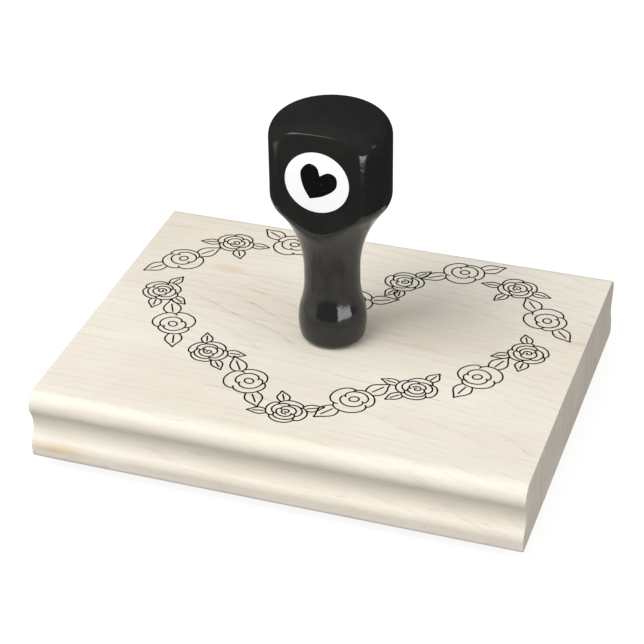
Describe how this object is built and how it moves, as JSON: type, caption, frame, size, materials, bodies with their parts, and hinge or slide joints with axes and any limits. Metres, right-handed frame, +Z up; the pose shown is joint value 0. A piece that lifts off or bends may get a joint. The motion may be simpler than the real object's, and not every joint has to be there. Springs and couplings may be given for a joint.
{
  "type": "handled rubber stamp",
  "caption": "Large hand stamp: moulded wooden block with a flower wreath index print, cushioned rubber printing die beneath and a black turned screw-on handle on top.",
  "frame": {"origin": "on the printing face, at the middle of the block and under the handle's axis", "axes": "+Z up along the handle, +X along the block, -Y towards the front that the handle's flat faces"},
  "size_m": [0.1524, 0.12, 0.1033],
  "materials": {
    "maple": "bare sanded pale maple",
    "index_ink": "thin matt black printed line",
    "plated_steel": "zinc plated pressing",
    "adhesive_film": "thin milky adhesive film",
    "foam": "closed-cell foam, matt",
    "die_rubber": "red-brown engraving rubber, matt",
    "washer_rubber": "soft black rubber",
    "black_lacquer": "turned hardwood under gloss black lacquer",
    "bolt_steel": "zinc plated, rolled thread",
    "label": "white printed paper label"
  },
  "bodies": {
    "mount": {"wood_block": "maple", "threaded_nut": "plated_steel", "upper_film": "adhesive_film", "foam_cushion": "foam", "lower_film": "adhesive_film", "rubber_die": "die_rubber"},
    "washer": {"foot_washer": "washer_rubber"},
    "handle_unit": {"handle": "black_lacquer", "hanger_bolt": "bolt_steel", "label_disc": "label"}
  },
  "joints": [
    {"name": "handle_lift", "type": "slide", "parent": "mount", "child": "washer", "axis": [0, 0, 1], "range_m": [0, 0.0089]},
    {"name": "handle_turn", "type": "hinge", "parent": "washer", "child": "handle_unit", "pos_m": [0, 0, 0.0262], "axis": [0, 0, 1], "range_deg": [0, 2520]}
  ],
  "couplings": [
    {"joint": "handle_lift", "follows": "handle_turn", "m_per_rad": 0.00020213}
  ]
}
